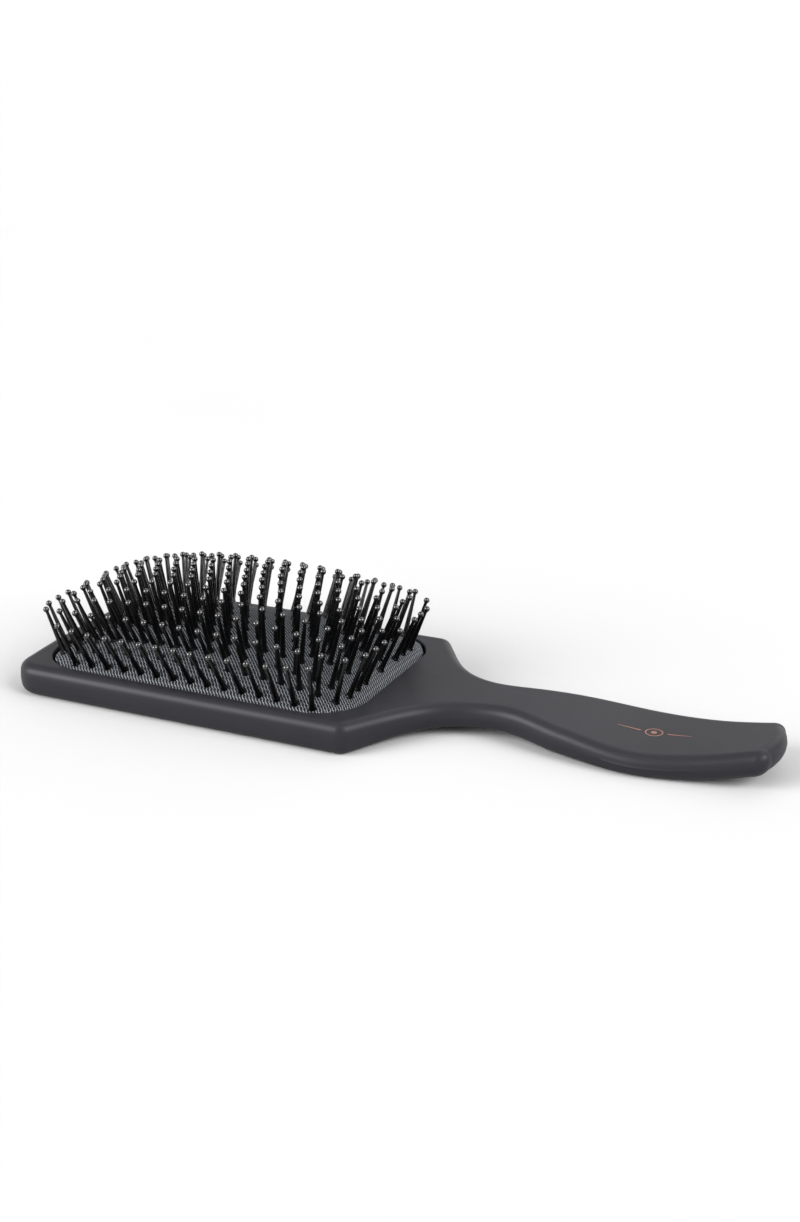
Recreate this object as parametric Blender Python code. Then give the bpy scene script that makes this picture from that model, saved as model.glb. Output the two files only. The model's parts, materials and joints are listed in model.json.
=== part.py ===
"""Paddle brush: a moulded handle with a recess, a frame, an air cushion and rows of ball-tipped pins.

Run with: blender --background --python part.py
Everything is worked out in millimetres and scaled to metres when a mesh is made.
The brush lies on its back, bristles up. +X runs along it towards the handle's end, +Z is up,
and the origin is under the middle of its length.
"""

import math

import bmesh
import bpy
import numpy as np
from mathutils import Vector
from mathutils.geometry import delaunay_2d_cdt

MM = 0.001

# Handle and head, one moulding.
LENGTH = 249.0
HEAD_HALF_WIDTH = 42.0
HEAD_THICKNESS = 10.6
EDGE_RADIUS = 3.4
END_BOW = 1.6
TOE_CORNER_RADIUS = 9.0
HEEL_CORNER_RADIUS = 5.0
HEEL_CORNER_X = -2.6
HEEL_CORNER_SWEEP = math.radians(57.0)
NECK_X = 37.8
NECK_HALF_WIDTH = 11.3
SHOULDER_REACH = 20.0
TAIL_CORNER_RADIUS = 4.5
TAIL_BOW = 2.0
HANDLE_WIDTHS = ((NECK_X, NECK_HALF_WIDTH), (59.0, 15.9), (82.0, 18.9), (103.0, 16.5), (120.0, 13.8))
TOP_HEIGHTS = ((8.0, 10.6), (28.0, 10.7), (44.0, 11.2), (60.0, 9.7), (83.0, 7.4), (103.0, 9.1), (124.0, 13.5))
UNDERSIDE_HEIGHTS = ((-2.0, 0.0), (13.0, 1.7), (37.0, 2.8), (60.0, 1.0), (83.0, 0.0), (103.0, 1.2), (124.0, 5.4))

# Recess in the head, with a ledge that carries the cushion's frame.
RECESS_X = -59.2
RECESS_HALF = (58.0, 37.2)
RECESS_CORNER_RADIUS = 17.0
LEDGE_Z = 6.1
LEDGE_WIDTH = 1.6
WELL_CORNER_RADIUS = 13.5
FLOOR_Z = 2.4

# Frame and cushion.
GAP = 0.3
RIM_GAP = 0.5
FRAME_WIDTH = 1.3
FRAME_THICKNESS = 1.4
CUSHION_THICKNESS = 1.6
CUSHION_EDGE_Z = 9.6
DOME_RISE = 11.47
DOME_POWERS = (2.76, 3.41)
VENT_PLACE = (RECESS_X + 30.6, -1.0)
VENT_RADIUS = 0.8

# Rows of pins: how many, and the first and the last one's place from the recess's centre.
OUTER_ROW = (15, -42.4, 45.4)
SECOND_ROW = (17, -51.1, 50.6)
CLOSE_ROW = (18, -53.6, 52.4)
WIDE_ROW = (17, -53.6, 52.4)
SHORT_ROW = (17, -50.2, 49.3)
FRONT_ROWS = (OUTER_ROW, SECOND_ROW, CLOSE_ROW, WIDE_ROW, CLOSE_ROW, SHORT_ROW)
ROWS = FRONT_ROWS + (CLOSE_ROW,) + FRONT_ROWS[::-1]
ROW_SPACING = 5.67

# Pins.
PIN_LENGTH = 17.05
LEAN_ALONG = 0.55
LEAN_ALONG_POWER = 1.45
LEAN_ACROSS = 0.77
LEAN_ACROSS_POWER = 1.4
CORNER_UPRIGHTING = 1.3
PIN_SIDES = 4
ROOT_RADIUS = 1.0
NECK_RADIUS = 0.55
BALL_RADIUS = 1.0
CAP_RADIUS = 0.55
HOLE_RADIUS = ROOT_RADIUS + 0.35
RUNNER_HALF_WIDTH = 0.85
RUNNER_THICKNESS = 1.0
RUNNER_END = 1.0


def clear_scene():
    for old in list(bpy.data.objects):
        bpy.data.objects.remove(old, do_unlink=True)


def material(name, colour, roughness, metallic=0.0):
    made = bpy.data.materials.new(name)
    made.use_nodes = True
    shader = made.node_tree.nodes["Principled BSDF"]
    shader.inputs["Base Color"].default_value = (*colour, 1.0)
    shader.inputs["Roughness"].default_value = roughness
    shader.inputs["Metallic"].default_value = metallic
    return made


def add_object(name, vertices, faces, finish):
    """Makes one closed object from millimetre vertices, with its faces turned outwards."""
    mesh = bpy.data.meshes.new(name)
    mesh.from_pydata([Vector(v) * MM for v in vertices], [], faces)
    work = bmesh.new()
    work.from_mesh(mesh)
    bmesh.ops.recalc_face_normals(work, faces=work.faces)
    work.to_mesh(mesh)
    work.free()
    made = bpy.data.objects.new(name, mesh)
    made.data.materials.append(finish)
    bpy.context.scene.collection.objects.link(made)
    return made


def smooth_through(stations, x):
    """A smooth curve through (x, value) stations, level at both ends, by cubic Hermite pieces."""
    places = [s[0] for s in stations]
    values = [s[1] for s in stations]
    if x <= places[0]:
        return values[0]
    last = len(places) - 1
    slopes = [0.0] * len(places)
    for i in range(1, last):
        slopes[i] = (values[i + 1] - values[i - 1]) / (places[i + 1] - places[i - 1])
    slopes[last] = (values[last] - values[last - 1]) / (places[last] - places[last - 1])
    if x >= places[last]:
        return values[last] + slopes[last] * (x - places[last])
    i = max(k for k in range(last) if places[k] <= x)
    span = places[i + 1] - places[i]
    t = (x - places[i]) / span
    from_left = (1 + 2 * t) * (1 - t) ** 2 * values[i] + t * (1 - t) ** 2 * span * slopes[i]
    from_right = t * t * (3 - 2 * t) * values[i + 1] - t * t * (1 - t) * span * slopes[i + 1]
    return from_left + from_right


def top_z(x):
    return smooth_through(TOP_HEIGHTS, x)


def underside_z(x):
    return smooth_through(UNDERSIDE_HEIGHTS, x)


def arc(centre, radius, start, end, count):
    angles = np.linspace(start, end, count)
    return [(centre[0] + radius * math.cos(a), centre[1] + radius * math.sin(a)) for a in angles]


def bezier(p0, p1, p2, p3, count):
    points = []
    for t in np.linspace(0.0, 1.0, count):
        weights = ((1 - t) ** 3, 3 * t * (1 - t) ** 2, 3 * t * t * (1 - t), t ** 3)
        points.append(tuple(sum(w * p[k] for w, p in zip(weights, (p0, p1, p2, p3))) for k in (0, 1)))
    return points


def half_outline():
    """The handle's plan on the +Y side, from the head's far end to the handle's end."""
    toe_x = -LENGTH / 2
    toe_y = HEAD_HALF_WIDTH - TOE_CORNER_RADIUS
    points = [(toe_x + END_BOW * (y / toe_y) ** 2, y) for y in np.linspace(0.0, toe_y, 6)][:-1]
    toe_centre = (toe_x + END_BOW + TOE_CORNER_RADIUS, toe_y)
    points += arc(toe_centre, TOE_CORNER_RADIUS, math.pi, math.pi / 2, 7)
    points += [(x, HEAD_HALF_WIDTH) for x in np.linspace(toe_centre[0], HEEL_CORNER_X, 7)][1:-1]
    heel_centre = (HEEL_CORNER_X, HEAD_HALF_WIDTH - HEEL_CORNER_RADIUS)
    heel_end = math.pi / 2 - HEEL_CORNER_SWEEP
    points += arc(heel_centre, HEEL_CORNER_RADIUS, math.pi / 2, heel_end, 5)
    start = points[-1]
    heading = (math.sin(heel_end), -math.cos(heel_end))
    near_start = (start[0] + SHOULDER_REACH * heading[0], start[1] + SHOULDER_REACH * heading[1])
    near_neck = (NECK_X - SHOULDER_REACH, NECK_HALF_WIDTH)
    points += bezier(start, near_start, near_neck, (NECK_X, NECK_HALF_WIDTH), 12)[1:]
    tail_x = LENGTH / 2 - TAIL_BOW
    side_end = tail_x - TAIL_CORNER_RADIUS
    points += [(x, smooth_through(HANDLE_WIDTHS, x)) for x in np.linspace(NECK_X, side_end, 16)][1:-1]
    tail_y = smooth_through(HANDLE_WIDTHS, side_end) - TAIL_CORNER_RADIUS
    points += arc((side_end, tail_y), TAIL_CORNER_RADIUS, math.pi / 2, 0.0, 5)
    points += [(tail_x + TAIL_BOW * (1 - (y / tail_y) ** 2), y) for y in np.linspace(tail_y, 0.0, 4)][1:]
    return points


def inset(outline, distance):
    """Moves each point of the half plan square to the edge, inwards; the two ends stay on y = 0."""
    moved = []
    last = len(outline) - 1
    for i, (x, y) in enumerate(outline):
        before = outline[i - 1] if i > 0 else (outline[1][0], -outline[1][1])
        after = outline[i + 1] if i < last else (outline[last - 1][0], -outline[last - 1][1])
        along = (after[0] - before[0], after[1] - before[1])
        size = math.hypot(*along)
        moved.append((x + along[1] / size * distance, y - along[0] / size * distance))
    return moved


def handle_ring(depth, from_top, drop):
    """One closed loop of the handle's skin: inset by depth, drop in from its top or its underside."""
    half = inset(half_outline(), depth)
    level = (lambda x: top_z(x) - drop) if from_top else (lambda x: underside_z(x) + drop)
    right = [(x, y, level(x)) for x, y in half]
    left = [(x, -y, z) for x, y, z in reversed(right[1:-1])]
    return right + left


def rounded_rectangle(half_x, half_y, radius, corner_steps):
    """A closed loop of (x, y) about the recess's centre."""
    points = []
    for k, (sx, sy) in enumerate(((1, 1), (-1, 1), (-1, -1), (1, -1))):
        centre = (RECESS_X + sx * (half_x - radius), sy * (half_y - radius))
        start = k * math.pi / 2
        points += arc(centre, radius, start, start + math.pi / 2, corner_steps)
    return points


def bridge(lower, upper, count):
    """Quads between two closed loops given by their first vertex numbers."""
    faces = []
    for i in range(count):
        after = (i + 1) % count
        faces.append((lower + i, lower + after, upper + after, upper + i))
    return faces


def prism(loop, low, high):
    count = len(loop)
    vertices = [(x, y, low) for x, y in loop] + [(x, y, high) for x, y in loop]
    faces = [tuple(range(count)), tuple(range(count, 2 * count))]
    return vertices, faces + bridge(0, count, count)


def cut(target, name, loop, low, high):
    """Takes an upright prism out of the target."""
    vertices, faces = prism(loop, low, high)
    tool = add_object(name, vertices, faces, target.data.materials[0])
    tool.hide_render = True
    tool.display_type = "WIRE"
    modifier = target.modifiers.new(name, "BOOLEAN")
    modifier.operation = "DIFFERENCE"
    modifier.object = tool


def make_handle(finish):
    """The head and handle: a flat underside, rounded edges and an S-curve along the grip."""
    bulge = EDGE_RADIUS * (1 - math.sqrt(0.5))
    rings = [
        handle_ring(EDGE_RADIUS, False, 0.0),
        handle_ring(bulge, False, bulge),
        handle_ring(0.0, False, EDGE_RADIUS),
        handle_ring(0.0, True, EDGE_RADIUS),
        handle_ring(bulge, True, bulge),
        handle_ring(EDGE_RADIUS, True, 0.0),
    ]
    count = len(rings[0])
    vertices = [v for ring in rings for v in ring]
    faces = []
    for level in range(len(rings) - 1):
        faces += bridge(level * count, (level + 1) * count, count)
    half = count // 2
    for base in (0, (len(rings) - 1) * count):
        faces.append((base, base + 1, base + count - 1))
        for i in range(1, half - 1):
            faces.append((base + i, base + i + 1, base + count - i - 1, base + count - i))
        faces.append((base + half - 1, base + half, base + half + 1))
    handle = add_object("handle_body", vertices, faces, finish)
    mouth = rounded_rectangle(*RECESS_HALF, RECESS_CORNER_RADIUS, 9)
    well_half = [h - LEDGE_WIDTH for h in RECESS_HALF]
    well = rounded_rectangle(*well_half, WELL_CORNER_RADIUS, 9)
    cut(handle, "recess_cut", mouth, LEDGE_Z, 2 * HEAD_THICKNESS)
    cut(handle, "well_cut", well, FLOOR_Z, LEDGE_Z + 1.0)


def make_frame(finish):
    """The flat ring under the cushion's edge, lying on the recess's ledge."""
    outer_half = [h - RIM_GAP for h in RECESS_HALF]
    inner_half = [h - FRAME_WIDTH for h in outer_half]
    outer = rounded_rectangle(*outer_half, RECESS_CORNER_RADIUS - RIM_GAP, 8)
    inner = rounded_rectangle(*inner_half, WELL_CORNER_RADIUS, 8)
    low = LEDGE_Z + GAP
    high = low + FRAME_THICKNESS
    count = len(outer)
    loops = [(outer, low), (outer, high), (inner, high), (inner, low)]
    vertices = [(x, y, z) for loop, z in loops for x, y in loop]
    faces = []
    for k in range(4):
        faces += bridge(k * count, (k + 1) % 4 * count, count)
    add_object("cushion_frame", vertices, faces, finish)


def dome_z(x, y):
    """Height of the cushion's upper face, from its edge to its crown."""
    along = min(abs(x - RECESS_X) / RECESS_HALF[0], 1.0)
    across = min(abs(y) / RECESS_HALF[1], 1.0)
    return CUSHION_EDGE_Z + DOME_RISE * (1 - along ** DOME_POWERS[0]) * (1 - across ** DOME_POWERS[1])


def pin_direction(x, y):
    """The way a pin stands: upright at the crown, leaning out towards the edge, less so at the corners."""
    along = (x - RECESS_X) / RECESS_HALF[0]
    across = y / RECESS_HALF[1]
    lean_x = math.copysign(LEAN_ALONG * abs(along) ** LEAN_ALONG_POWER, along) * (1 - across ** 4)
    lean_y = math.copysign(LEAN_ACROSS * abs(across) ** LEAN_ACROSS_POWER, across)
    return Vector((lean_x, lean_y * (1 - CORNER_UPRIGHTING * along ** 4), 1.0)).normalized()


def pin_roots(row):
    """The places on the cushion of one row's pins; rows run along the brush, the outer ones shorter."""
    count, first, last = ROWS[row]
    y = (row - (len(ROWS) - 1) / 2) * ROW_SPACING
    return [(RECESS_X + x, y) for x in np.linspace(first, last, count)]


def below_dome(x, y, depth):
    """Where a pin's own axis meets the surface that lies depth under the dome."""
    root = Vector((x, y, dome_z(x, y)))
    direction = pin_direction(x, y)
    travel = depth
    for _ in range(12):
        point = root - direction * travel
        travel += point.z - (dome_z(point.x, point.y) - depth)
    return root - direction * travel


def ring_angles():
    return [math.pi / PIN_SIDES + 2 * math.pi * k / PIN_SIDES for k in range(PIN_SIDES)]


def surface_ring(x, y, radius, depth):
    """A ring of points on the surface that lies depth under the dome, round (x, y)."""
    ring = []
    for angle in ring_angles():
        px = x + radius * math.cos(angle)
        py = y + radius * math.sin(angle)
        ring.append((px, py, dome_z(px, py) - depth))
    return ring


def inside_one_hole(triangle, edge_count):
    """Whether a triangle's corners all lie on one hole's ring, which leaves the hole open."""
    owners = {(v - edge_count) // PIN_SIDES for v in triangle}
    return len(owners) == 1 and min(triangle) >= edge_count


def cushion_face(edge, depth, holes):
    """Triangles of one face of the cushion, with its edge loop first and then each hole's ring."""
    points = [(x, y, CUSHION_EDGE_Z - depth) for x, y in edge]
    loops = [list(range(len(edge)))]
    for x, y, radius in holes:
        centre = below_dome(x, y, depth)
        loops.append(list(range(len(points), len(points) + PIN_SIDES)))
        points += surface_ring(centre.x, centre.y, radius, depth)
    edges = []
    for loop in loops:
        edges += [(loop[i], loop[(i + 1) % len(loop)]) for i in range(len(loop))]
    inside_only = 1
    result = delaunay_2d_cdt([Vector(p[:2]) for p in points], edges, [], inside_only, 1e-6)
    original = [found[0] for found in result[3]]
    triangles = [tuple(original[v] for v in face) for face in result[2]]
    return points, [t for t in triangles if not inside_one_hole(t, len(edge))]


def make_cushion(finish):
    """The domed air cushion, with a hole for every pin and one small vent."""
    half = [h - RIM_GAP for h in RECESS_HALF]
    edge = rounded_rectangle(*half, RECESS_CORNER_RADIUS - RIM_GAP, 8)
    holes = [(x, y, HOLE_RADIUS) for row in range(len(ROWS)) for x, y in pin_roots(row)]
    holes.append((*VENT_PLACE, VENT_RADIUS))
    top, top_faces = cushion_face(edge, 0.0, holes)
    under, under_faces = cushion_face(edge, CUSHION_THICKNESS, holes)
    shift = len(top)
    faces = top_faces + [tuple(shift + v for v in face) for face in under_faces]
    faces += bridge(0, shift, len(edge))
    for k in range(len(holes)):
        first = len(edge) + k * PIN_SIDES
        faces += bridge(first, shift + first, PIN_SIDES)
    add_object("air_cushion", top + under, faces, finish)


def pin_ring(root, direction, height, radius):
    """A ring square to the pin, at a height along it."""
    side = Vector((0.0, 1.0, 0.0)).cross(direction).normalized()
    front = direction.cross(side)
    centre = root + direction * height
    ring = []
    for angle in ring_angles():
        ring.append(tuple(centre + radius * (math.cos(angle) * side + math.sin(angle) * front)))
    return ring


def add_pin(vertices, faces, x, y, depth):
    """Adds a pin that grows out of the runner's top; returns the first vertex of its foot."""
    root = Vector((x, y, dome_z(x, y)))
    direction = pin_direction(x, y)
    foot = below_dome(x, y, depth)
    first = len(vertices)
    vertices += surface_ring(foot.x, foot.y, ROOT_RADIUS, depth)
    vertices += pin_ring(root, direction, PIN_LENGTH - 2.3 * BALL_RADIUS, NECK_RADIUS)
    vertices += pin_ring(root, direction, PIN_LENGTH - BALL_RADIUS, BALL_RADIUS)
    vertices += pin_ring(root, direction, PIN_LENGTH, CAP_RADIUS)
    for level in range(3):
        faces += bridge(first + level * PIN_SIDES, first + (level + 1) * PIN_SIDES, PIN_SIDES)
    faces.append(tuple(range(first + 3 * PIN_SIDES, first + 4 * PIN_SIDES)))
    return first


def make_pin_row(row, finish):
    """One row of pins on a thin runner that lies in the air space under the cushion."""
    depth = CUSHION_THICKNESS + GAP
    roots = pin_roots(row)
    y = roots[0][1]
    feet = [below_dome(x, y, depth) for x, y in roots]
    joints = [(a.x + b.x) / 2 for a, b in zip(feet, feet[1:])]
    stations = [feet[0].x - RUNNER_END] + joints + [feet[-1].x + RUNNER_END]
    middles = [feet[0].y] + [(a.y + b.y) / 2 for a, b in zip(feet, feet[1:])] + [feet[-1].y]
    vertices = []
    for x, middle in zip(stations, middles):
        for side in (1, -1):
            py = middle + side * RUNNER_HALF_WIDTH
            top = dome_z(x, py) - depth
            vertices += [(x, py, top), (x, py, top - RUNNER_THICKNESS)]
    faces = []
    for i, (x, _) in enumerate(roots):
        near = 4 * i
        far = near + 4
        first = add_pin(vertices, faces, x, y, depth)
        corners = (far, near, near + 2, far + 2)
        for k in range(PIN_SIDES):
            after = (k + 1) % PIN_SIDES
            faces.append((corners[k], corners[after], first + after, first + k))
        faces.append((near + 1, far + 1, far + 3, near + 3))
        faces.append((near, far, far + 1, near + 1))
        faces.append((near + 2, near + 3, far + 3, far + 2))
    last = 4 * len(roots)
    faces.append((0, 1, 3, 2))
    faces.append((last, last + 2, last + 3, last + 1))
    add_object(f"pin_row_{row + 1:02d}", vertices, faces, finish)


def main():
    clear_scene()
    soft_touch = material("soft_touch_black", (0.045, 0.045, 0.05), 0.55)
    frame_plastic = material("frame_plastic", (0.03, 0.03, 0.03), 0.5)
    woven_rubber = material("woven_rubber", (0.07, 0.075, 0.08), 0.8)
    pin_nylon = material("pin_nylon", (0.01, 0.01, 0.012), 0.2)
    make_handle(soft_touch)
    make_frame(frame_plastic)
    make_cushion(woven_rubber)
    for row in range(len(ROWS)):
        make_pin_row(row, pin_nylon)


main()
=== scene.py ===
"""Looks of the paddle brush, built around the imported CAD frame.

Shapes are worked out in millimetres and scaled to metres when a mesh is made. The brush lies on its
back along +X, handle's end at +X, pins up.
"""

import json
import math
import random

import bmesh
import bpy
import numpy as np
from mathutils import Matrix, Vector


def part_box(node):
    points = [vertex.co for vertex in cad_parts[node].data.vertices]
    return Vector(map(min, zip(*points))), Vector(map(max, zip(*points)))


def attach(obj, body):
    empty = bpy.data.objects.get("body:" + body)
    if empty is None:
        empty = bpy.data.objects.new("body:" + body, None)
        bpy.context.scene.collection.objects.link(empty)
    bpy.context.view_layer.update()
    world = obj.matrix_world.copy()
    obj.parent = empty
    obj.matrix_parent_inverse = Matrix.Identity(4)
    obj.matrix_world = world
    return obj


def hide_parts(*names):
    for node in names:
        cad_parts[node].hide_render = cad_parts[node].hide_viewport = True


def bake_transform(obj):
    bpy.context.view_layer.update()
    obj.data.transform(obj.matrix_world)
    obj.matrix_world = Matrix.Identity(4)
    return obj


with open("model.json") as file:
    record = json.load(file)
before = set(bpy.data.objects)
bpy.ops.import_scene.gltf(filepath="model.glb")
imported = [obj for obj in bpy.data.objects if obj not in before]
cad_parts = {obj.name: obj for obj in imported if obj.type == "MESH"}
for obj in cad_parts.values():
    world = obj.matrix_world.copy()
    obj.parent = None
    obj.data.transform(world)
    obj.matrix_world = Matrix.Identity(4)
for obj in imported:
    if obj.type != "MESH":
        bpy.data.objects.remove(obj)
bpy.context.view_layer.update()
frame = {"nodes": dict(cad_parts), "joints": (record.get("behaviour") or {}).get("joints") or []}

MM = 0.001


def box_mm(node):
    """The two corners of one CAD node's box, in millimetres."""
    low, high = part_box(node)
    return low / MM, high / MM


# ---------------------------------------------------------------- sizes, lengths in millimetres

HANDLE_LOW, HANDLE_HIGH = box_mm("handle_body")
FRAME_LOW, FRAME_HIGH = box_mm("cushion_frame")
CROWN_Z = box_mm("air_cushion")[1].z
ROW_JOINTS = [j for j in frame["joints"] if j["name"].endswith("_rock")]

# The handle's plan.
HEAD_HALF_WIDTH = HANDLE_HIGH.y
END_BOW = 1.6
TOE_CORNER_RADIUS = 9.0
HEEL_CORNER_RADIUS = 5.0
HEEL_CORNER_X = -2.6
HEEL_CORNER_SWEEP = math.radians(57.0)
SHOULDER_REACH = 20.0
NECK_X = 37.8
NECK_HALF_WIDTH = 11.3
TAIL_CORNER_RADIUS = 4.5
TAIL_BOW = 2.0

# The handle's side view and its rounded edge.
HEAD_THICKNESS = 10.6
EDGE_RADIUS = 3.4
EDGE_STEPS = 9
FACE_MARGIN = 0.5
SIDE_CROWN = 0.15

# Stations (place along the brush, value) of the grip's half width, and of the handle's top and underside.
HANDLE_WIDTHS = ((NECK_X, NECK_HALF_WIDTH), (59.0, 15.9), (82.0, 18.9), (103.0, 16.5), (120.0, 13.8))
TOP_HEIGHTS = (
    (8.0, HEAD_THICKNESS), (28.0, 10.7), (44.0, 11.2), (60.0, 9.7),
    (83.0, 7.4), (103.0, 9.1), (124.0, 13.5),
)
UNDERSIDE_HEIGHTS = (
    (-2.0, 0.0), (13.0, 1.7), (37.0, 2.8), (60.0, 1.0),
    (83.0, 0.0), (103.0, 1.2), (124.0, 5.4),
)

# How many points each stretch of the handle's plan has.
END_POINTS = 30
TOE_POINTS = 26
SIDE_POINTS = 60
HEEL_POINTS = 16
SHOULDER_POINTS = 70
GRIP_POINTS = 90
TAIL_CORNER_POINTS = 16
TAIL_POINTS = 14

# The recess in the head, its ledge and its well.
RIM_GAP = 0.5
RECESS_X = (FRAME_LOW.x + FRAME_HIGH.x) / 2
RECESS_HALF = ((FRAME_HIGH.x - FRAME_LOW.x) / 2 + RIM_GAP, (FRAME_HIGH.y - FRAME_LOW.y) / 2 + RIM_GAP)
RECESS_CORNER_RADIUS = 17.0
RECESS_CORNER_POINTS = 40
RECESS_LIP = 0.55
LIP_STEPS = 7
LIP_END_DEGREES = 84.0
LEDGE_Z = 6.1
LEDGE_WIDTH = 1.6
WELL_CORNER_RADIUS = 13.5
FLOOR_Z = 2.4
WELL_TOOL_OVERLAP = 1.0

# The cushion.
CUSHION_EDGE_Z = 9.6
CUSHION_SHELL = 1.6
CUSHION_INSET = 0.35
CUSHION_HALF = tuple(h - (RIM_GAP + CUSHION_INSET) for h in RECESS_HALF)
CUSHION_CORNER_RADIUS = RECESS_CORNER_RADIUS - (RIM_GAP + CUSHION_INSET)
CUSHION_COLUMNS = 190
CUSHION_LINES = 124
EDGE_ROLL = 0.9
EDGE_BULGE = ((0.12, 1.0), (0.18, 1.15), (0.18, 1.4), (0.1, 1.55))
DOME_RISE = 11.47
DOME_POWERS = (2.76, 3.41)
DIP_DEPTH = 0.32
DIP_SPREAD = 2.6
DIP_REACH = 4.5
DIP_FADE = 2.0
VENT_PLACE = (RECESS_X + 30.6, -1.0)
VENT_RADIUS = 0.8
VENT_POINTS = 24
VENT_TOOL_RISE = 5.0

# Rows of pins: how many, and the first and the last one's place from the recess's centre.
OUTER_ROW = (15, -42.4, 45.4)
SECOND_ROW = (17, -51.1, 50.6)
CLOSE_ROW = (18, -53.6, 52.4)
WIDE_ROW = (17, -53.6, 52.4)
SHORT_ROW = (17, -50.2, 49.3)
FRONT_ROWS = (OUTER_ROW, SECOND_ROW, CLOSE_ROW, WIDE_ROW, CLOSE_ROW, SHORT_ROW)
ROWS = FRONT_ROWS + (CLOSE_ROW,) + FRONT_ROWS[::-1]

# How the pins lean, as slopes at the recess's edge.
LEAN_ALONG = 0.55
LEAN_ALONG_POWER = 1.45
LEAN_ACROSS = 0.77
LEAN_ACROSS_POWER = 1.4
CORNER_UPRIGHTING = 1.3
LEAN_SCATTER = 0.008
SCATTER_SEED = 7

# One pin: (height along the pin, radius) up its head under the cushion, its foot and its shaft.
PIN_HEAD = ((-2.9, 0.0), (-2.88, 0.85), (-2.78, 0.98), (-2.35, 0.98), (-2.22, 0.85), (-2.18, 0.65))
PIN_FOOT = ((-0.5, 0.75), (-0.2, 1.15), (0.0, 1.28), (0.2, 1.28), (0.42, 1.2), (0.7, 1.08), (1.1, 0.98))
PIN_SHAFT = ((1.7, 0.92), (3.0, 0.87), (6.0, 0.79), (9.0, 0.7), (12.0, 0.61), (14.2, 0.55), (15.0, 0.53))
PIN_SIDES = 20
PIN_SUNK = 0.25
BALL_CENTRE = 16.3
BALL_RADIUS = 1.0
BALL_LOOPS = 12

# The printed ornament.
MARK_X = 85.0
MARK_LIFT = 0.035
MARK_FOOT = -0.05
RING_RADIUS = 2.6
RING_WIDTH = 0.34
DOT_RADIUS = 0.55
DOT_WIDTH = 0.7
RING_POINTS = 48
LINE_REACH = (4.2, 11.5)
LINE_HALF_WIDTHS = (0.24, 0.08)
LINE_POINTS = 16


# ---------------------------------------------------------------- shapes

def smooth_through(stations, x):
    """A smooth curve through (x, value) stations, level at its start, by cubic Hermite pieces."""
    places = [s[0] for s in stations]
    values = [s[1] for s in stations]
    if x <= places[0]:
        return values[0]
    last = len(places) - 1
    slopes = [0.0] * len(places)
    for i in range(1, last):
        slopes[i] = (values[i + 1] - values[i - 1]) / (places[i + 1] - places[i - 1])
    slopes[last] = (values[last] - values[last - 1]) / (places[last] - places[last - 1])
    if x >= places[last]:
        return values[last] + slopes[last] * (x - places[last])
    i = max(k for k in range(last) if places[k] <= x)
    span = places[i + 1] - places[i]
    t = (x - places[i]) / span
    from_left = (1 + 2 * t) * (1 - t) ** 2 * values[i] + t * (1 - t) ** 2 * span * slopes[i]
    from_right = t * t * (3 - 2 * t) * values[i + 1] - t * t * (1 - t) * span * slopes[i + 1]
    return from_left + from_right


def top_z(x):
    """Height of the handle's top face at x."""
    return smooth_through(TOP_HEIGHTS, x)


def underside_z(x):
    """Height of the handle's underside at x."""
    return smooth_through(UNDERSIDE_HEIGHTS, x)


def arc(centre, radius, start, end, count):
    """Points on an arc, both ends included."""
    angles = np.linspace(start, end, count)
    return [(centre[0] + radius * math.cos(a), centre[1] + radius * math.sin(a)) for a in angles]


def circle(centre, radius, count):
    """A closed loop of count points."""
    return arc(centre, radius, 0.0, 2 * math.pi, count + 1)[:-1]


def bezier(p0, p1, p2, p3, count):
    """Points on a cubic Bezier curve in the plan, both ends included."""
    points = []
    for t in np.linspace(0.0, 1.0, count):
        weights = ((1 - t) ** 3, 3 * t * (1 - t) ** 2, 3 * t * t * (1 - t), t ** 3)
        points.append(tuple(sum(w * p[k] for w, p in zip(weights, (p0, p1, p2, p3))) for k in (0, 1)))
    return points


def head_outline():
    """The head's plan on the +Y side, from its far end on y = 0 to the end of the heel corner."""
    toe_x = HANDLE_LOW.x
    toe_y = HEAD_HALF_WIDTH - TOE_CORNER_RADIUS
    points = [(toe_x + END_BOW * (y / toe_y) ** 2, y) for y in np.linspace(0.0, toe_y, END_POINTS)][:-1]
    toe_centre = (toe_x + END_BOW + TOE_CORNER_RADIUS, toe_y)
    points += arc(toe_centre, TOE_CORNER_RADIUS, math.pi, math.pi / 2, TOE_POINTS)
    side_xs = np.linspace(toe_centre[0], HEEL_CORNER_X, SIDE_POINTS)[1:-1]
    points += [(x, HEAD_HALF_WIDTH) for x in side_xs]
    heel_centre = (HEEL_CORNER_X, HEAD_HALF_WIDTH - HEEL_CORNER_RADIUS)
    heel_end = math.pi / 2 - HEEL_CORNER_SWEEP
    return points + arc(heel_centre, HEEL_CORNER_RADIUS, math.pi / 2, heel_end, HEEL_POINTS)


def shoulder_outline(start):
    """The sweep from the heel corner's end into the neck, without its first point."""
    heel_end = math.pi / 2 - HEEL_CORNER_SWEEP
    heading = (math.sin(heel_end), -math.cos(heel_end))
    near_start = (start[0] + SHOULDER_REACH * heading[0], start[1] + SHOULDER_REACH * heading[1])
    near_neck = (NECK_X - SHOULDER_REACH, NECK_HALF_WIDTH)
    return bezier(start, near_start, near_neck, (NECK_X, NECK_HALF_WIDTH), SHOULDER_POINTS)[1:]


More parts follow.
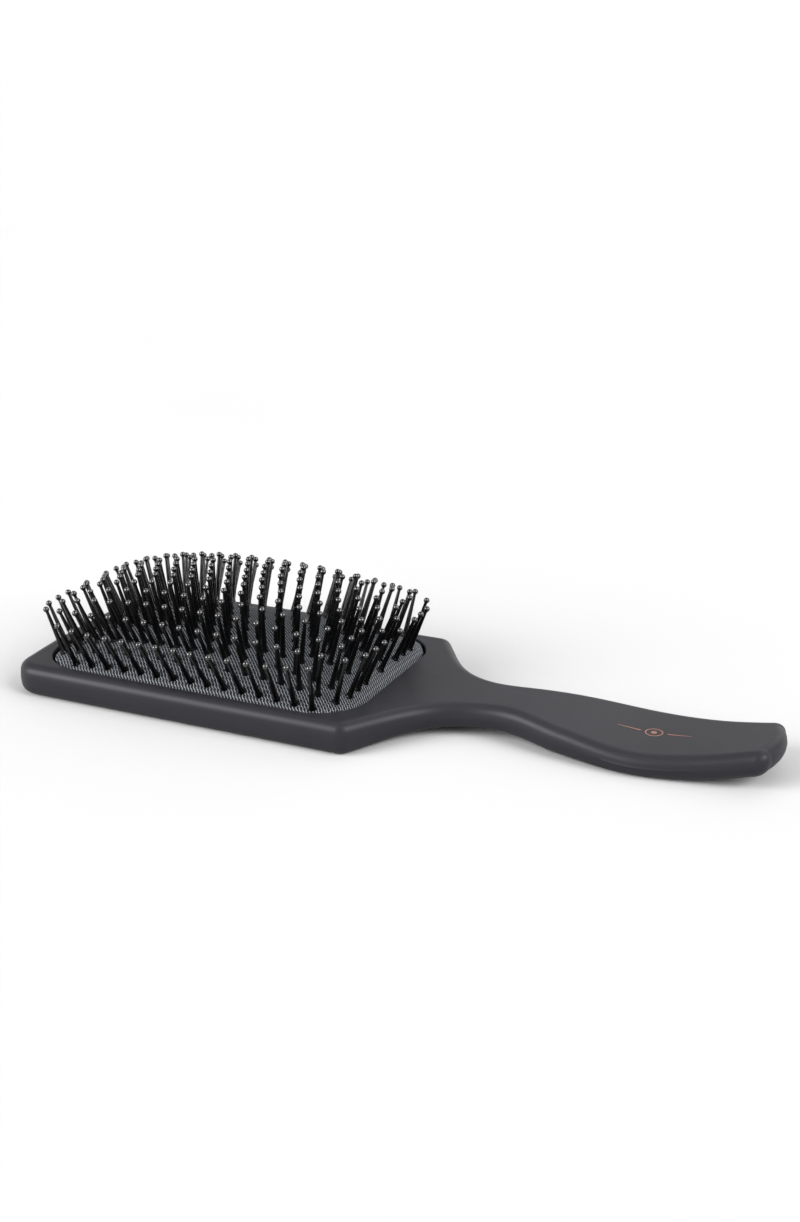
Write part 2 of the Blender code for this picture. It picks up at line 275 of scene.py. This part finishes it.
def grip_outline():
    """The grip's plan on the +Y side, from just past the neck to the handle's end on y = 0."""
    tail_x = HANDLE_HIGH.x - TAIL_BOW
    side_end = tail_x - TAIL_CORNER_RADIUS
    side_xs = np.linspace(NECK_X, side_end, GRIP_POINTS)[1:-1]
    points = [(x, smooth_through(HANDLE_WIDTHS, x)) for x in side_xs]
    tail_y = smooth_through(HANDLE_WIDTHS, side_end) - TAIL_CORNER_RADIUS
    points += arc((side_end, tail_y), TAIL_CORNER_RADIUS, math.pi / 2, 0.0, TAIL_CORNER_POINTS)
    tail_ys = np.linspace(tail_y, 0.0, TAIL_POINTS)[1:]
    return points + [(tail_x + TAIL_BOW * (1 - (y / tail_y) ** 2), y) for y in tail_ys]


def half_outline():
    """The handle's plan on the +Y side, from the head's far end to the handle's end."""
    points = head_outline()
    points += shoulder_outline(points[-1])
    return points + grip_outline()


def inset(outline, distance):
    """Moves each point of the half plan square to the edge, inwards; the two ends stay on y = 0."""
    moved = []
    last = len(outline) - 1
    for i, (x, y) in enumerate(outline):
        before = outline[i - 1] if i > 0 else (outline[1][0], -outline[1][1])
        after = outline[i + 1] if i < last else (outline[last - 1][0], -outline[last - 1][1])
        along = (after[0] - before[0], after[1] - before[1])
        size = math.hypot(*along)
        moved.append((x + along[1] / size * distance, y - along[0] / size * distance))
    return moved


def rounded_rectangle(half_x, half_y, radius):
    """A closed loop of (x, y) about the recess's centre."""
    points = []
    for k, (sx, sy) in enumerate(((1, 1), (-1, 1), (-1, -1), (1, -1))):
        centre = (RECESS_X + sx * (half_x - radius), sy * (half_y - radius))
        start = k * math.pi / 2
        points += arc(centre, radius, start, start + math.pi / 2, RECESS_CORNER_POINTS)
    return points


def into_rounded_rectangle(x, y, half_x, half_y, radius):
    """Draws the corners of a plain rectangle in, so that its edge becomes a rounded rectangle's."""
    along = (abs(x) - (half_x - radius)) / radius
    across = (abs(y) - (half_y - radius)) / radius
    if along <= 0 or across <= 0:
        return x, y
    new_along = along * math.sqrt(1 - across * across / 2)
    new_across = across * math.sqrt(1 - along * along / 2)
    return (
        math.copysign(half_x - radius + new_along * radius, x),
        math.copysign(half_y - radius + new_across * radius, y),
    )


def dome_z(x, y):
    """Height of the cushion's upper face, from its edge to its crown."""
    along = min(abs(x - RECESS_X) / RECESS_HALF[0], 1.0)
    across = min(abs(y) / RECESS_HALF[1], 1.0)
    return CUSHION_EDGE_Z + DOME_RISE * (1 - along ** DOME_POWERS[0]) * (1 - across ** DOME_POWERS[1])


def pin_direction(x, y):
    """The way a pin stands: upright at the crown, leaning out towards the edge, less so at the corners."""
    along = (x - RECESS_X) / RECESS_HALF[0]
    across = y / RECESS_HALF[1]
    lean_x = math.copysign(LEAN_ALONG * abs(along) ** LEAN_ALONG_POWER, along) * (1 - across ** 4)
    lean_y = math.copysign(LEAN_ACROSS * abs(across) ** LEAN_ACROSS_POWER, across)
    return Vector((lean_x, lean_y * (1 - CORNER_UPRIGHTING * along ** 4), 1.0)).normalized()


def pin_roots(row):
    """The places on the cushion of one row's pins, along the row's own joint."""
    count, first, last = ROWS[row]
    y = ROW_JOINTS[row]["pos_m"][1] / MM
    return [(RECESS_X + x, y) for x in np.linspace(first, last, count)]


# ---------------------------------------------------------------- meshes

def link_new(name, data):
    """An object for the data, in the scene."""
    made = bpy.data.objects.new(name, data)
    bpy.context.scene.collection.objects.link(made)
    return made


def smooth(made, sharp_angle):
    """Smooth shading everywhere but on edges sharper than the angle, in degrees."""
    mesh = made.data
    mesh.polygons.foreach_set("use_smooth", [True] * len(mesh.polygons))
    mesh.set_sharp_from_angle(angle=math.radians(sharp_angle))


def add_object(name, vertices, faces, sharp_angle=40.0):
    """Makes an object from millimetre vertices, faces outwards, smooth but for its sharp edges."""
    mesh = bpy.data.meshes.new(name)
    mesh.from_pydata([Vector(v) * MM for v in vertices], [], faces)
    work = bmesh.new()
    work.from_mesh(mesh)
    bmesh.ops.recalc_face_normals(work, faces=work.faces)
    work.to_mesh(mesh)
    work.free()
    made = link_new(name, mesh)
    smooth(made, sharp_angle)
    return made


def bridge(lower, upper):
    """Quads between two closed loops of vertex numbers."""
    faces = []
    for i in range(len(lower)):
        after = (i + 1) % len(lower)
        faces.append((lower[i], lower[after], upper[after], upper[i]))
    return faces


def bridge_all(loop_count, count):
    """Quads between each loop and the next, the loops numbered one after another."""
    loops = [range(k * count, (k + 1) * count) for k in range(loop_count)]
    faces = []
    for lower, upper in zip(loops, loops[1:]):
        faces += bridge(lower, upper)
    return faces


def stacked_loops(name, loops):
    """A closed solid from loops of equal length, each a list of points with one height."""
    count = len(loops[0][0])
    vertices = [(x, y, z) for loop, z in loops for x, y in loop]
    bottom = tuple(range(count))
    top = tuple(range((len(loops) - 1) * count, len(loops) * count))
    return add_object(name, vertices, [bottom, top] + bridge_all(len(loops), count))


def cut_away(target, tool):
    """Takes the tool's volume out of the target for good."""
    modifier = target.modifiers.new("cut", "BOOLEAN")
    modifier.operation = "DIFFERENCE"
    modifier.object = tool
    bpy.context.view_layer.update()
    evaluated = target.evaluated_get(bpy.context.evaluated_depsgraph_get())
    cut_mesh = bpy.data.meshes.new_from_object(evaluated)
    target.modifiers.clear()
    target.data = cut_mesh
    bpy.data.objects.remove(tool, do_unlink=True)


# ---------------------------------------------------------------- handle

def handle_profile():
    """(depth, from the top?, drop) of each loop of the handle's skin, from underside to top."""
    steps = [math.radians(a) for a in np.linspace(0.0, 90.0, EDGE_STEPS)]
    turn = [(EDGE_RADIUS * (1 - math.sin(a)), EDGE_RADIUS * (1 - math.cos(a))) for a in steps]
    profile = [(EDGE_RADIUS + FACE_MARGIN, False, 0.0)]
    profile += [(depth, False, drop) for depth, drop in turn]
    profile.append((-SIDE_CROWN, None, 0.0))
    profile += [(depth, True, drop) for depth, drop in reversed(turn)]
    profile.append((EDGE_RADIUS + FACE_MARGIN, True, 0.0))
    return profile


def handle_loop(outline, depth, from_top, drop):
    """One loop round the handle, depth inside its plan; from_top None is half way up its side."""
    right = []
    for x, y in inset(outline, depth):
        if from_top is None:
            z = (top_z(x) + underside_z(x)) / 2
        else:
            z = top_z(x) - drop if from_top else underside_z(x) + drop
        right.append((x, y, z))
    left = [(x, -y, z) for x, y, z in reversed(right[1:-1])]
    return right + left


def cap(base, count):
    """Closes the loop that starts at vertex base with quads from side to side across y = 0."""
    half = count // 2
    faces = [(base, base + 1, base + count - 1)]
    for i in range(1, half - 1):
        faces.append((base + i, base + i + 1, base + count - i - 1, base + count - i))
    faces.append((base + half - 1, base + half, base + half + 1))
    return faces


def mouth_loops():
    """The recess from its ledge up, turning out into a rounded lip at the head's top face."""
    loops = [(rounded_rectangle(*RECESS_HALF, RECESS_CORNER_RADIUS), LEDGE_Z)]
    for degrees in np.linspace(0.0, LIP_END_DEGREES, LIP_STEPS):
        angle = math.radians(degrees)
        grow = RECESS_LIP * (1 - math.cos(angle))
        half_sizes = [h + grow for h in RECESS_HALF]
        level = HEAD_THICKNESS - RECESS_LIP * (1 - math.sin(angle))
        loops.append((rounded_rectangle(*half_sizes, RECESS_CORNER_RADIUS + grow), level))
    loops.append((loops[-1][0], 2 * HEAD_THICKNESS))
    return loops


def well_loops():
    """The deeper well inside the ledge, reaching a little up into the recess."""
    half_sizes = [h - LEDGE_WIDTH for h in RECESS_HALF]
    well = rounded_rectangle(*half_sizes, WELL_CORNER_RADIUS)
    return [(well, FLOOR_Z), (well, LEDGE_Z + WELL_TOOL_OVERLAP)]


def make_handle():
    """The one-piece head and handle, with a softly rounded edge all round and a lipped recess."""
    outline = half_outline()
    loops = [handle_loop(outline, *entry) for entry in handle_profile()]
    count = len(loops[0])
    vertices = [v for loop in loops for v in loop]
    faces = bridge_all(len(loops), count)
    faces += cap(0, count)
    faces += cap((len(loops) - 1) * count, count)
    handle = add_object("handle_shell", vertices, faces)
    cut_away(handle, stacked_loops("mouth_tool", mouth_loops()))
    cut_away(handle, stacked_loops("well_tool", well_loops()))
    smooth(handle, sharp_angle=32.0)
    return handle


# ---------------------------------------------------------------- printed ornament

def add_strip(vertices, faces, inner, outer, closed):
    """A thin solid band on the handle's top face, between two lines of (x, y) of equal length."""
    first = len(vertices)
    size = len(inner)
    for x, y in inner + outer:
        vertices.append((x, y, top_z(x) + MARK_LIFT))
        vertices.append((x, y, top_z(x) + MARK_FOOT))
    for k in range(size if closed else size - 1):
        a, b = first + 2 * k, first + 2 * ((k + 1) % size)
        c, d = a + 2 * size, b + 2 * size
        faces.append((a, b, d, c))
        faces.append((a + 1, c + 1, d + 1, b + 1))
        faces.append((a, a + 1, b + 1, b))
        faces.append((c, d, d + 1, c + 1))
    if not closed:
        for k in (0, size - 1):
            a, c = first + 2 * k, first + 2 * k + 2 * size
            faces.append((a, c, c + 1, a + 1))


def add_ring(vertices, faces, radius, width):
    """A flat ring about the ornament's centre, radius to the middle of its width."""
    inner = circle((MARK_X, 0.0), radius - width / 2, RING_POINTS)
    outer = circle((MARK_X, 0.0), radius + width / 2, RING_POINTS)
    add_strip(vertices, faces, inner, outer, True)


def add_line(vertices, faces, way):
    """A line that tapers away from the ornament's centre, towards +X or -X."""
    near, far = LINE_REACH
    xs = np.linspace(MARK_X + way * near, MARK_X + way * far, LINE_POINTS)
    widths = np.linspace(*LINE_HALF_WIDTHS, LINE_POINTS)
    low = [(x, -w) for x, w in zip(xs, widths)]
    high = [(x, w) for x, w in zip(xs, widths)]
    add_strip(vertices, faces, low, high, False)


def make_mark():
    """A generic thin ornament printed on the grip: a ring round a dot, between two tapering lines."""
    vertices, faces = [], []
    add_ring(vertices, faces, RING_RADIUS, RING_WIDTH)
    add_ring(vertices, faces, DOT_RADIUS, DOT_WIDTH)
    for way in (-1, 1):
        add_line(vertices, faces, way)
    return add_object("grip_mark", vertices, faces, sharp_angle=30.0)


# ---------------------------------------------------------------- cushion

def dip_places():
    """For each row, its y and its pins' x, which the cushion dips round."""
    places = []
    for row in range(len(ROWS)):
        roots = pin_roots(row)
        places.append((roots[0][1], np.array([x for x, _ in roots])))
    return places


def dip(x, y, places):
    """How far the stretched facing is drawn down at its nearest pins."""
    depth = 0.0
    for row_y, xs in places:
        if abs(y - row_y) < DIP_REACH:
            near = (xs - x) ** 2 + (row_y - y) ** 2
            depth += DIP_DEPTH * float(np.exp(-near / DIP_SPREAD).sum())
    return depth


def cushion_grids():
    """The grid points of the cushion's upper face and of its underside."""
    half_x, half_y = CUSHION_HALF
    places = dip_places()
    top, under = [], []
    for grid_y in np.linspace(-half_y, half_y, CUSHION_LINES):
        for grid_x in np.linspace(-half_x, half_x, CUSHION_COLUMNS):
            from_centre, y = into_rounded_rectangle(grid_x, grid_y, half_x, half_y, CUSHION_CORNER_RADIUS)
            x = RECESS_X + from_centre
            edge = min(half_x - abs(grid_x), half_y - abs(grid_y))
            z = dome_z(x, y)
            sunk = EDGE_ROLL * math.exp(-edge) + min(1.0, edge / DIP_FADE) * dip(x, y, places)
            top.append((x, y, z - sunk))
            under.append((x, y, z - CUSHION_SHELL))
    return top, under


def grid_faces(underside_first):
    """Quads over the upper grid and, turned over, the underside's, which starts at that number."""
    faces = []
    for j in range(CUSHION_LINES - 1):
        for i in range(CUSHION_COLUMNS - 1):
            a = j * CUSHION_COLUMNS + i
            quad = (a, a + 1, a + CUSHION_COLUMNS + 1, a + CUSHION_COLUMNS)
            faces.append(quad)
            faces.append(tuple(underside_first + v for v in reversed(quad)))
    return faces


def grid_rim():
    """The numbers of the upper grid's outermost points, once round."""
    last_line = (CUSHION_LINES - 1) * CUSHION_COLUMNS
    rim = list(range(CUSHION_COLUMNS))
    rim += [j * CUSHION_COLUMNS + CUSHION_COLUMNS - 1 for j in range(1, CUSHION_LINES)]
    rim += [last_line + i for i in range(CUSHION_COLUMNS - 2, -1, -1)]
    rim += [j * CUSHION_COLUMNS for j in range(CUSHION_LINES - 2, 0, -1)]
    return rim


def add_edge_loop(vertices, rim, out, drop):
    """Adds a loop outside the rim, drop below the cushion's edge level, and gives its numbers."""
    first = len(vertices)
    for v in rim:
        x, y, _ = vertices[v]
        away = Vector((x - RECESS_X, y * RECESS_HALF[0] / RECESS_HALF[1], 0.0)).normalized()
        vertices.append((x + away.x * out, y + away.y * out, CUSHION_EDGE_Z - drop))
    return list(range(first, len(vertices)))


def make_cushion():
    """The domed rubber cushion under its woven facing: a shell with a rolled edge and a vent."""
    top, under = cushion_grids()
    vertices = top + under
    faces = grid_faces(len(top))
    rim = grid_rim()
    edge_loops = [rim]
    edge_loops += [add_edge_loop(vertices, rim, out, drop) for out, drop in EDGE_BULGE]
    edge_loops.append([len(top) + v for v in rim])
    for upper, lower in zip(edge_loops, edge_loops[1:]):
        faces += bridge(upper, lower)
    cushion = add_object("cushion_dome", vertices, faces, sharp_angle=60.0)
    vent = circle(VENT_PLACE, VENT_RADIUS, VENT_POINTS)
    vent_ends = [(vent, CUSHION_EDGE_Z), (vent, CROWN_Z + VENT_TOOL_RISE)]
    cut_away(cushion, stacked_loops("vent_tool", vent_ends))
    smooth(cushion, sharp_angle=60.0)
    return cushion


# ---------------------------------------------------------------- pins

def pin_profile():
    """(height along the pin, radius) from its head under the cushion to the end of its ball."""
    profile = list(PIN_HEAD + PIN_FOOT + PIN_SHAFT)
    join = math.asin(profile[-1][1] / BALL_RADIUS)
    for angle in np.linspace(math.pi - join, 0.0, BALL_LOOPS):
        profile.append((BALL_CENTRE + BALL_RADIUS * math.cos(angle), BALL_RADIUS * math.sin(angle)))
    return profile


def add_pin(vertices, faces, root, direction, profile):
    """Turns the pin's profile round its own axis; a radius of nothing makes a single point."""
    side = Vector((0.0, 1.0, 0.0)).cross(direction).normalized()
    front = direction.cross(side)
    loops = []
    for height, radius in profile:
        centre = root + direction * height
        first = len(vertices)
        if radius < 1e-6:
            vertices.append(tuple(centre))
            loops.append([first])
            continue
        for k in range(PIN_SIDES):
            angle = 2 * math.pi * k / PIN_SIDES
            vertices.append(tuple(centre + radius * (math.cos(angle) * side + math.sin(angle) * front)))
        loops.append(list(range(first, first + PIN_SIDES)))
    for lower, upper in zip(loops, loops[1:]):
        for k in range(PIN_SIDES):
            after = (k + 1) % PIN_SIDES
            corners = [lower[k % len(lower)], lower[after % len(lower)]]
            corners += [upper[after % len(upper)], upper[k % len(upper)]]
            faces.append(tuple(dict.fromkeys(corners)))


def make_pin_row(row, chance):
    """One row's pins, each a turned nylon pin with a flared foot and a ball tip."""
    vertices, faces = [], []
    roots = pin_roots(row)
    profile = pin_profile()
    for x, y in roots:
        root = Vector((x, y, dome_z(x, y) - PIN_SUNK))
        scatter = Vector((chance.gauss(0.0, LEAN_SCATTER), chance.gauss(0.0, LEAN_SCATTER), 0.0))
        direction = (pin_direction(x, y) + scatter).normalized()
        add_pin(vertices, faces, root, direction, profile)
    pins = add_object(f"pins_{row + 1:02d}", vertices, faces, sharp_angle=50.0)
    faces_in_pin = len(faces) // len(roots)
    first_ball_face = faces_in_pin - (BALL_LOOPS - 1) * PIN_SIDES
    for i, face in enumerate(pins.data.polygons):
        face.material_index = int(i % faces_in_pin >= first_ball_face)
    return pins


# ---------------------------------------------------------------- materials

class Nodes:
    """Short names for building one material's node tree."""

    def __init__(self, name):
        self.material = bpy.data.materials.new(name)
        self.material.use_nodes = True
        self.tree = self.material.node_tree
        self.shader = self.tree.nodes["Principled BSDF"]

    def add(self, kind, inputs=None, **settings):
        node = self.tree.nodes.new(kind)
        for key, value in settings.items():
            setattr(node, key, value)
        for key, value in (inputs or {}).items():
            self.set(node.inputs[key], value)
        return node

    def set(self, socket, value):
        if isinstance(value, bpy.types.NodeSocket):
            self.tree.links.new(value, socket)
        else:
            socket.default_value = value

    def math(self, operation, a, b=0.0):
        node = self.add("ShaderNodeMath", operation=operation)
        self.set(node.inputs[0], a)
        self.set(node.inputs[1], b)
        return node.outputs[0]

    def scaled(self, value, factor, start=0.0):
        """start + factor * value."""
        return self.math("ADD", start, self.math("MULTIPLY", value, factor))

    def mix(self, factor, a, b, kind="RGBA"):
        node = self.add("ShaderNodeMix", {"Factor": factor}, data_type=kind)
        self.set(node.inputs["A"], a)
        self.set(node.inputs["B"], b)
        return node.outputs["Result"]

    def place(self, scale=(1.0, 1.0, 1.0), turn=0.0):
        """Object position in millimetres, turned about Z and stretched."""
        where = self.add("ShaderNodeTexCoord").outputs["Object"]
        mapping = self.add("ShaderNodeMapping", {"Vector": where})
        mapping.inputs["Rotation"].default_value = (0.0, 0.0, turn)
        mapping.inputs["Scale"].default_value = tuple(s / MM for s in scale)
        return mapping.outputs[0]

    def noise(self, place, scale, detail=3.0, roughness=0.5):
        inputs = {"Vector": place, "Scale": scale, "Detail": detail, "Roughness": roughness}
        return self.add("ShaderNodeTexNoise", inputs).outputs["Fac"]

    def ramp(self, value, stops):
        """Colour by value, through (position, colour) stops."""
        node = self.add("ShaderNodeValToRGB", {"Fac": value})
        node.color_ramp.elements[0].position = stops[0][0]
        node.color_ramp.elements[0].color = stops[0][1]
        node.color_ramp.elements[1].position = stops[-1][0]
        node.color_ramp.elements[1].color = stops[-1][1]
        for position, colour in stops[1:-1]:
            node.color_ramp.elements.new(position).color = colour
        return node.outputs[0]

    def bump(self, height, strength, distance, below=None):
        """A bumped normal, distance in metres, on top of another one if it is given."""
        inputs = {"Height": height, "Strength": strength, "Distance": distance}
        if below is not None:
            inputs["Normal"] = below
        return self.add("ShaderNodeBump", inputs).outputs[0]

    def finish(self, **inputs):
        """Sets the shader's inputs, whose names have _ for spaces."""
        for key, value in inputs.items():
            self.set(self.shader.inputs[key.replace("_", " ")], value)
        return self.material


def grey(value, blue=0.0):
    """A grey, drawn towards violet by blue."""
    return (value * (1 + 0.15 * blue), value, value * (1 + blue), 1.0)


def cool(value):
    """The weave's slightly blue grey."""
    return (value * 0.93, value, value * 1.12, 1.0)


def soft_touch_material():
    """Matt charcoal soft-touch coat: fine grain, faint lengthwise streaks and a painted highlight on its
    rounded edges.
    """
    n = Nodes("soft_touch_coat")
    grain = n.noise(n.place(), 9.0, 4.0, 0.6)
    cloud = n.noise(n.place(), 0.05, 3.0)
    streak = n.noise(n.place((0.02, 1.0, 1.0)), 1.6, 4.0, 0.65)
    pointiness = n.add("ShaderNodeNewGeometry").outputs["Pointiness"]
    # painted highlight: the coat is painted lighter along its rounded, convex edges
    edge = n.ramp(pointiness, ((0.5, grey(0.0)), (0.56, grey(1.0))))
    tone = n.math("ADD", n.math("MULTIPLY", cloud, 0.5), n.math("MULTIPLY", streak, 0.5))
    coat = n.ramp(tone, ((0.3, grey(0.0105, 0.24)), (0.7, grey(0.0145, 0.26))))
    coat_grain = n.bump(grain, 0.12, 0.00004)
    return n.finish(
        Base_Color=n.mix(n.math("MULTIPLY", edge, 0.25), coat, grey(0.026, 0.2)),
        Roughness=n.scaled(streak, 0.14, 0.38),
        Normal=n.bump(streak, 0.1, 0.00008, coat_grain),
        IOR=1.28,
    )


def woven_material():
    """Dark grey plain weave laid on the bias, with a soft sheen; one direction's threads are brighter."""
    n = Nodes("woven_facing")
    thread_pitch = 0.84
    on_bias = n.add("ShaderNodeSeparateXYZ", {"Vector": n.place(turn=math.pi / 4)})
    across_warp = n.math("MULTIPLY", on_bias.outputs["X"], math.pi / thread_pitch)
    across_weft = n.math("MULTIPLY", on_bias.outputs["Y"], math.pi / thread_pitch)
    warp = n.math("ABSOLUTE", n.math("SINE", across_warp))
    weft = n.math("ABSOLUTE", n.math("SINE", across_weft))
    checks = n.math("MULTIPLY", n.math("COSINE", across_warp), n.math("COSINE", across_weft))
    weft_on_top = n.math("GREATER_THAN", checks, 0.0)
    thread = n.mix(weft_on_top, warp, weft, "FLOAT")
    weave = n.math("MULTIPLY", thread, n.math("MAXIMUM", warp, weft))
    fuzz = n.noise(n.place(), 3.0, 4.0, 0.65)
    broad = n.noise(n.place(), 0.09, 2.0)
    lit = n.math("MULTIPLY", weave, n.scaled(weft_on_top, 0.65, 0.35))
    speckle = n.math("MULTIPLY", n.math("SUBTRACT", fuzz, 0.5), 0.35)
    shade = n.math("ADD", lit, speckle)
    thread_colour = n.ramp(shade, ((0.25, cool(0.001)), (0.6, cool(0.016)), (1.0, cool(0.38))))
    return n.finish(
        Base_Color=n.mix(n.math("MULTIPLY", broad, 0.2), thread_colour, cool(0.025)),
        Roughness=n.math("SUBTRACT", 0.72, n.math("MULTIPLY", weave, 0.22)),
        Normal=n.bump(weave, 1.0, 0.0002),
        IOR=1.35,
    )


def nylon_material(name, gloss, roughness):
    """Black moulded nylon with a faint flow pattern in its gloss."""
    n = Nodes(name)
    flow = n.noise(n.place(), 0.8, 3.0)
    ripple = n.noise(n.place((1.0, 1.0, 0.25)), 2.2, 2.0)
    return n.finish(
        Base_Color=n.ramp(flow, ((0.3, grey(0.001)), (0.7, grey(0.002, 0.1)))),
        Roughness=n.scaled(flow, 0.08, roughness),
        Normal=n.bump(ripple, 0.1, 0.00005),
        Specular_IOR_Level=gloss,
    )


def foil_material():
    """Thin rose-gold print with a slightly broken, brushed surface."""
    n = Nodes("rose_gold_print")
    wear = n.noise(n.place((0.2, 1.0, 1.0)), 4.0, 4.0, 0.6)
    dull_gold = (0.30, 0.13, 0.085, 1.0)
    bright_gold = (0.47, 0.23, 0.16, 1.0)
    return n.finish(
        Base_Color=n.ramp(wear, ((0.25, dull_gold), (0.75, bright_gold))),
        Roughness=n.scaled(wear, 0.2, 0.3),
        Metallic=0.85,
        Normal=n.bump(wear, 0.1, 0.00003),
    )


def frame_material():
    """Plain black moulding for the ring hidden under the cushion's edge."""
    n = Nodes("frame_plastic_black")
    grain = n.noise(n.place(), 2.0, 4.0)
    return n.finish(
        Base_Color=n.ramp(grain, ((0.3, grey(0.012)), (0.7, grey(0.02)))),
        Roughness=n.scaled(grain, 0.2, 0.45),
        Normal=n.bump(grain, 0.2, 0.00005),
    )


def floor_material():
    """Plain matt pale grey, a shade uneven."""
    n = Nodes("pale_floor")
    haze = n.noise(n.place(), 0.004, 2.0)
    base = n.ramp(haze, ((0.3, grey(0.45)), (0.7, grey(0.46))))
    return n.finish(Base_Color=base, Roughness=0.9, Specular_IOR_Level=0.1)


def dress(piece, slot, *materials):
    """Gives a piece its materials, keeping each face's choice among them; slot is not used."""
    indices = [face.material_index for face in piece.data.polygons]
    piece.data.materials.clear()
    for material in materials:
        piece.data.materials.append(material)
    piece.data.polygons.foreach_set("material_index", indices)


# ---------------------------------------------------------------- stage

# The camera: its angles, its millimetres from the recess's middle, its lens, and its near limit in metres.
AZIMUTH = math.radians(24.72)
ELEVATION = math.radians(19.77)
CAMERA_DISTANCE = 544.5
CAMERA_ASIDE = 54.0
CAMERA_RAISE = 13.4
LENS = 72.6
SENSOR = 36.0
CLIP_START = 0.01

# Distant lamps: name, the direction each shines from, strength, spread in degrees.
LAMPS = (
    ("overhead", (0.0, 0.0, 1.0), 0.5, 70.0),
    ("key", (-0.72, -0.75, 0.5), 4.8, 36.0),
    ("side", (0.84, -0.12, 0.6), 3.7, 36.0),
    ("back", (0.15, 0.9, 0.8), 0.7, 50.0),
)

# The studio's glow: its strength low down and overhead, and the heights it fades between.
GLOW_LOW = 1.6
GLOW_HIGH = 0.5
GLOW_FADE = (0.06, 0.3)
FLOOR_HALF = 60.0


def add_camera():
    """The main view: from the front, 25 degrees right of square and 20 degrees above."""
    back = Vector((
        math.sin(AZIMUTH) * math.cos(ELEVATION),
        -math.cos(AZIMUTH) * math.cos(ELEVATION),
        math.sin(ELEVATION),
    ))
    right = Vector((math.cos(AZIMUTH), math.sin(AZIMUTH), 0.0))
    up = back.cross(right)
    aim = Vector((RECESS_X, 0.0, HEAD_THICKNESS)) + right * CAMERA_ASIDE + up * CAMERA_RAISE
    data = bpy.data.cameras.new("view")
    data.sensor_fit = "HORIZONTAL"
    data.sensor_width = SENSOR
    data.lens = LENS
    data.clip_start = CLIP_START
    camera = link_new("view", data)
    turn = Matrix((right, up, back)).transposed().to_4x4()
    camera.matrix_world = Matrix.Translation((aim + back * CAMERA_DISTANCE) * MM) @ turn
    bpy.context.scene.camera = camera


def add_lamp(name, place, strength, spread):
    """A distant soft light that shines from place towards the origin, spread degrees wide."""
    data = bpy.data.lights.new(name, "SUN")
    data.energy = strength
    data.angle = math.radians(spread)
    lamp = link_new(name, data)
    lamp.rotation_euler = (-Vector(place)).to_track_quat("-Z", "Y").to_euler()


def add_world():
    """A dim white studio, with a bright band low down all round where the wall meets the floor."""
    world = bpy.data.worlds.new("studio")
    world.use_nodes = True
    tree = world.node_tree
    direction = tree.nodes.new("ShaderNodeTexCoord").outputs["Generated"]
    parts = tree.nodes.new("ShaderNodeSeparateXYZ")
    level = tree.nodes.new("ShaderNodeMapRange")
    level.inputs["From Min"].default_value = GLOW_FADE[0]
    level.inputs["From Max"].default_value = GLOW_FADE[1]
    level.inputs["To Min"].default_value = GLOW_LOW
    level.inputs["To Max"].default_value = GLOW_HIGH
    background = tree.nodes["Background"]
    background.inputs["Color"].default_value = (1.0, 1.0, 1.0, 1.0)
    tree.links.new(direction, parts.inputs["Vector"])
    tree.links.new(parts.outputs["Z"], level.inputs["Value"])
    tree.links.new(level.outputs["Result"], background.inputs["Strength"])
    bpy.context.scene.world = world


def add_floor():
    """A wide pale floor at z = 0, half its side in metres each way."""
    corners = [(x * FLOOR_HALF, y * FLOOR_HALF, 0) for x, y in ((-1, -1), (1, -1), (1, 1), (-1, 1))]
    mesh = bpy.data.meshes.new("floor")
    mesh.from_pydata(corners, [], [(0, 1, 2, 3)])
    floor = link_new("floor", mesh)
    floor.data.materials.append(floor_material())


def add_stage():
    """The floor, the studio's glow, the lamps and plain colours."""
    add_floor()
    add_world()
    bpy.context.scene.view_settings.view_transform = "Standard"
    for lamp in LAMPS:
        add_lamp(*lamp)


# ---------------------------------------------------------------- assembly

def place_handle():
    handle = make_handle()
    dress(handle, "soft_touch_black", soft_touch_material())
    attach(handle, "handle")
    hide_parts("handle_body")


def place_mark():
    mark = make_mark()
    dress(mark, "soft_touch_black", foil_material())
    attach(mark, "handle")


def dress_frame():
    """The ring under the cushion's edge keeps its CAD mesh and gets a material."""
    ring = frame["nodes"]["cushion_frame"]
    ring.data.materials.clear()
    ring.data.materials.append(frame_material())


def place_cushion():
    """The cushion: made, dressed, its place baked into its mesh, and the CAD cushion hidden."""
    cushion = make_cushion()
    dress(cushion, "woven_rubber", woven_material())
    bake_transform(cushion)
    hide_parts("air_cushion")


def place_pins():
    """Every row rides its own joint; all rows share one run of seeded scatter."""
    shaft = nylon_material("nylon_shaft", 0.28, 0.08)
    ball = nylon_material("polished_nylon_ball", 0.9, 0.02)
    chance = random.Random(SCATTER_SEED)
    for row in range(len(ROWS)):
        pins = make_pin_row(row, chance)
        dress(pins, "pin_nylon", shaft, ball)
        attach(pins, f"row_{row + 1:02d}")
        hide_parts(f"pin_row_{row + 1:02d}")


place_handle()
place_mark()
dress_frame()
place_cushion()
place_pins()
add_stage()
add_camera()
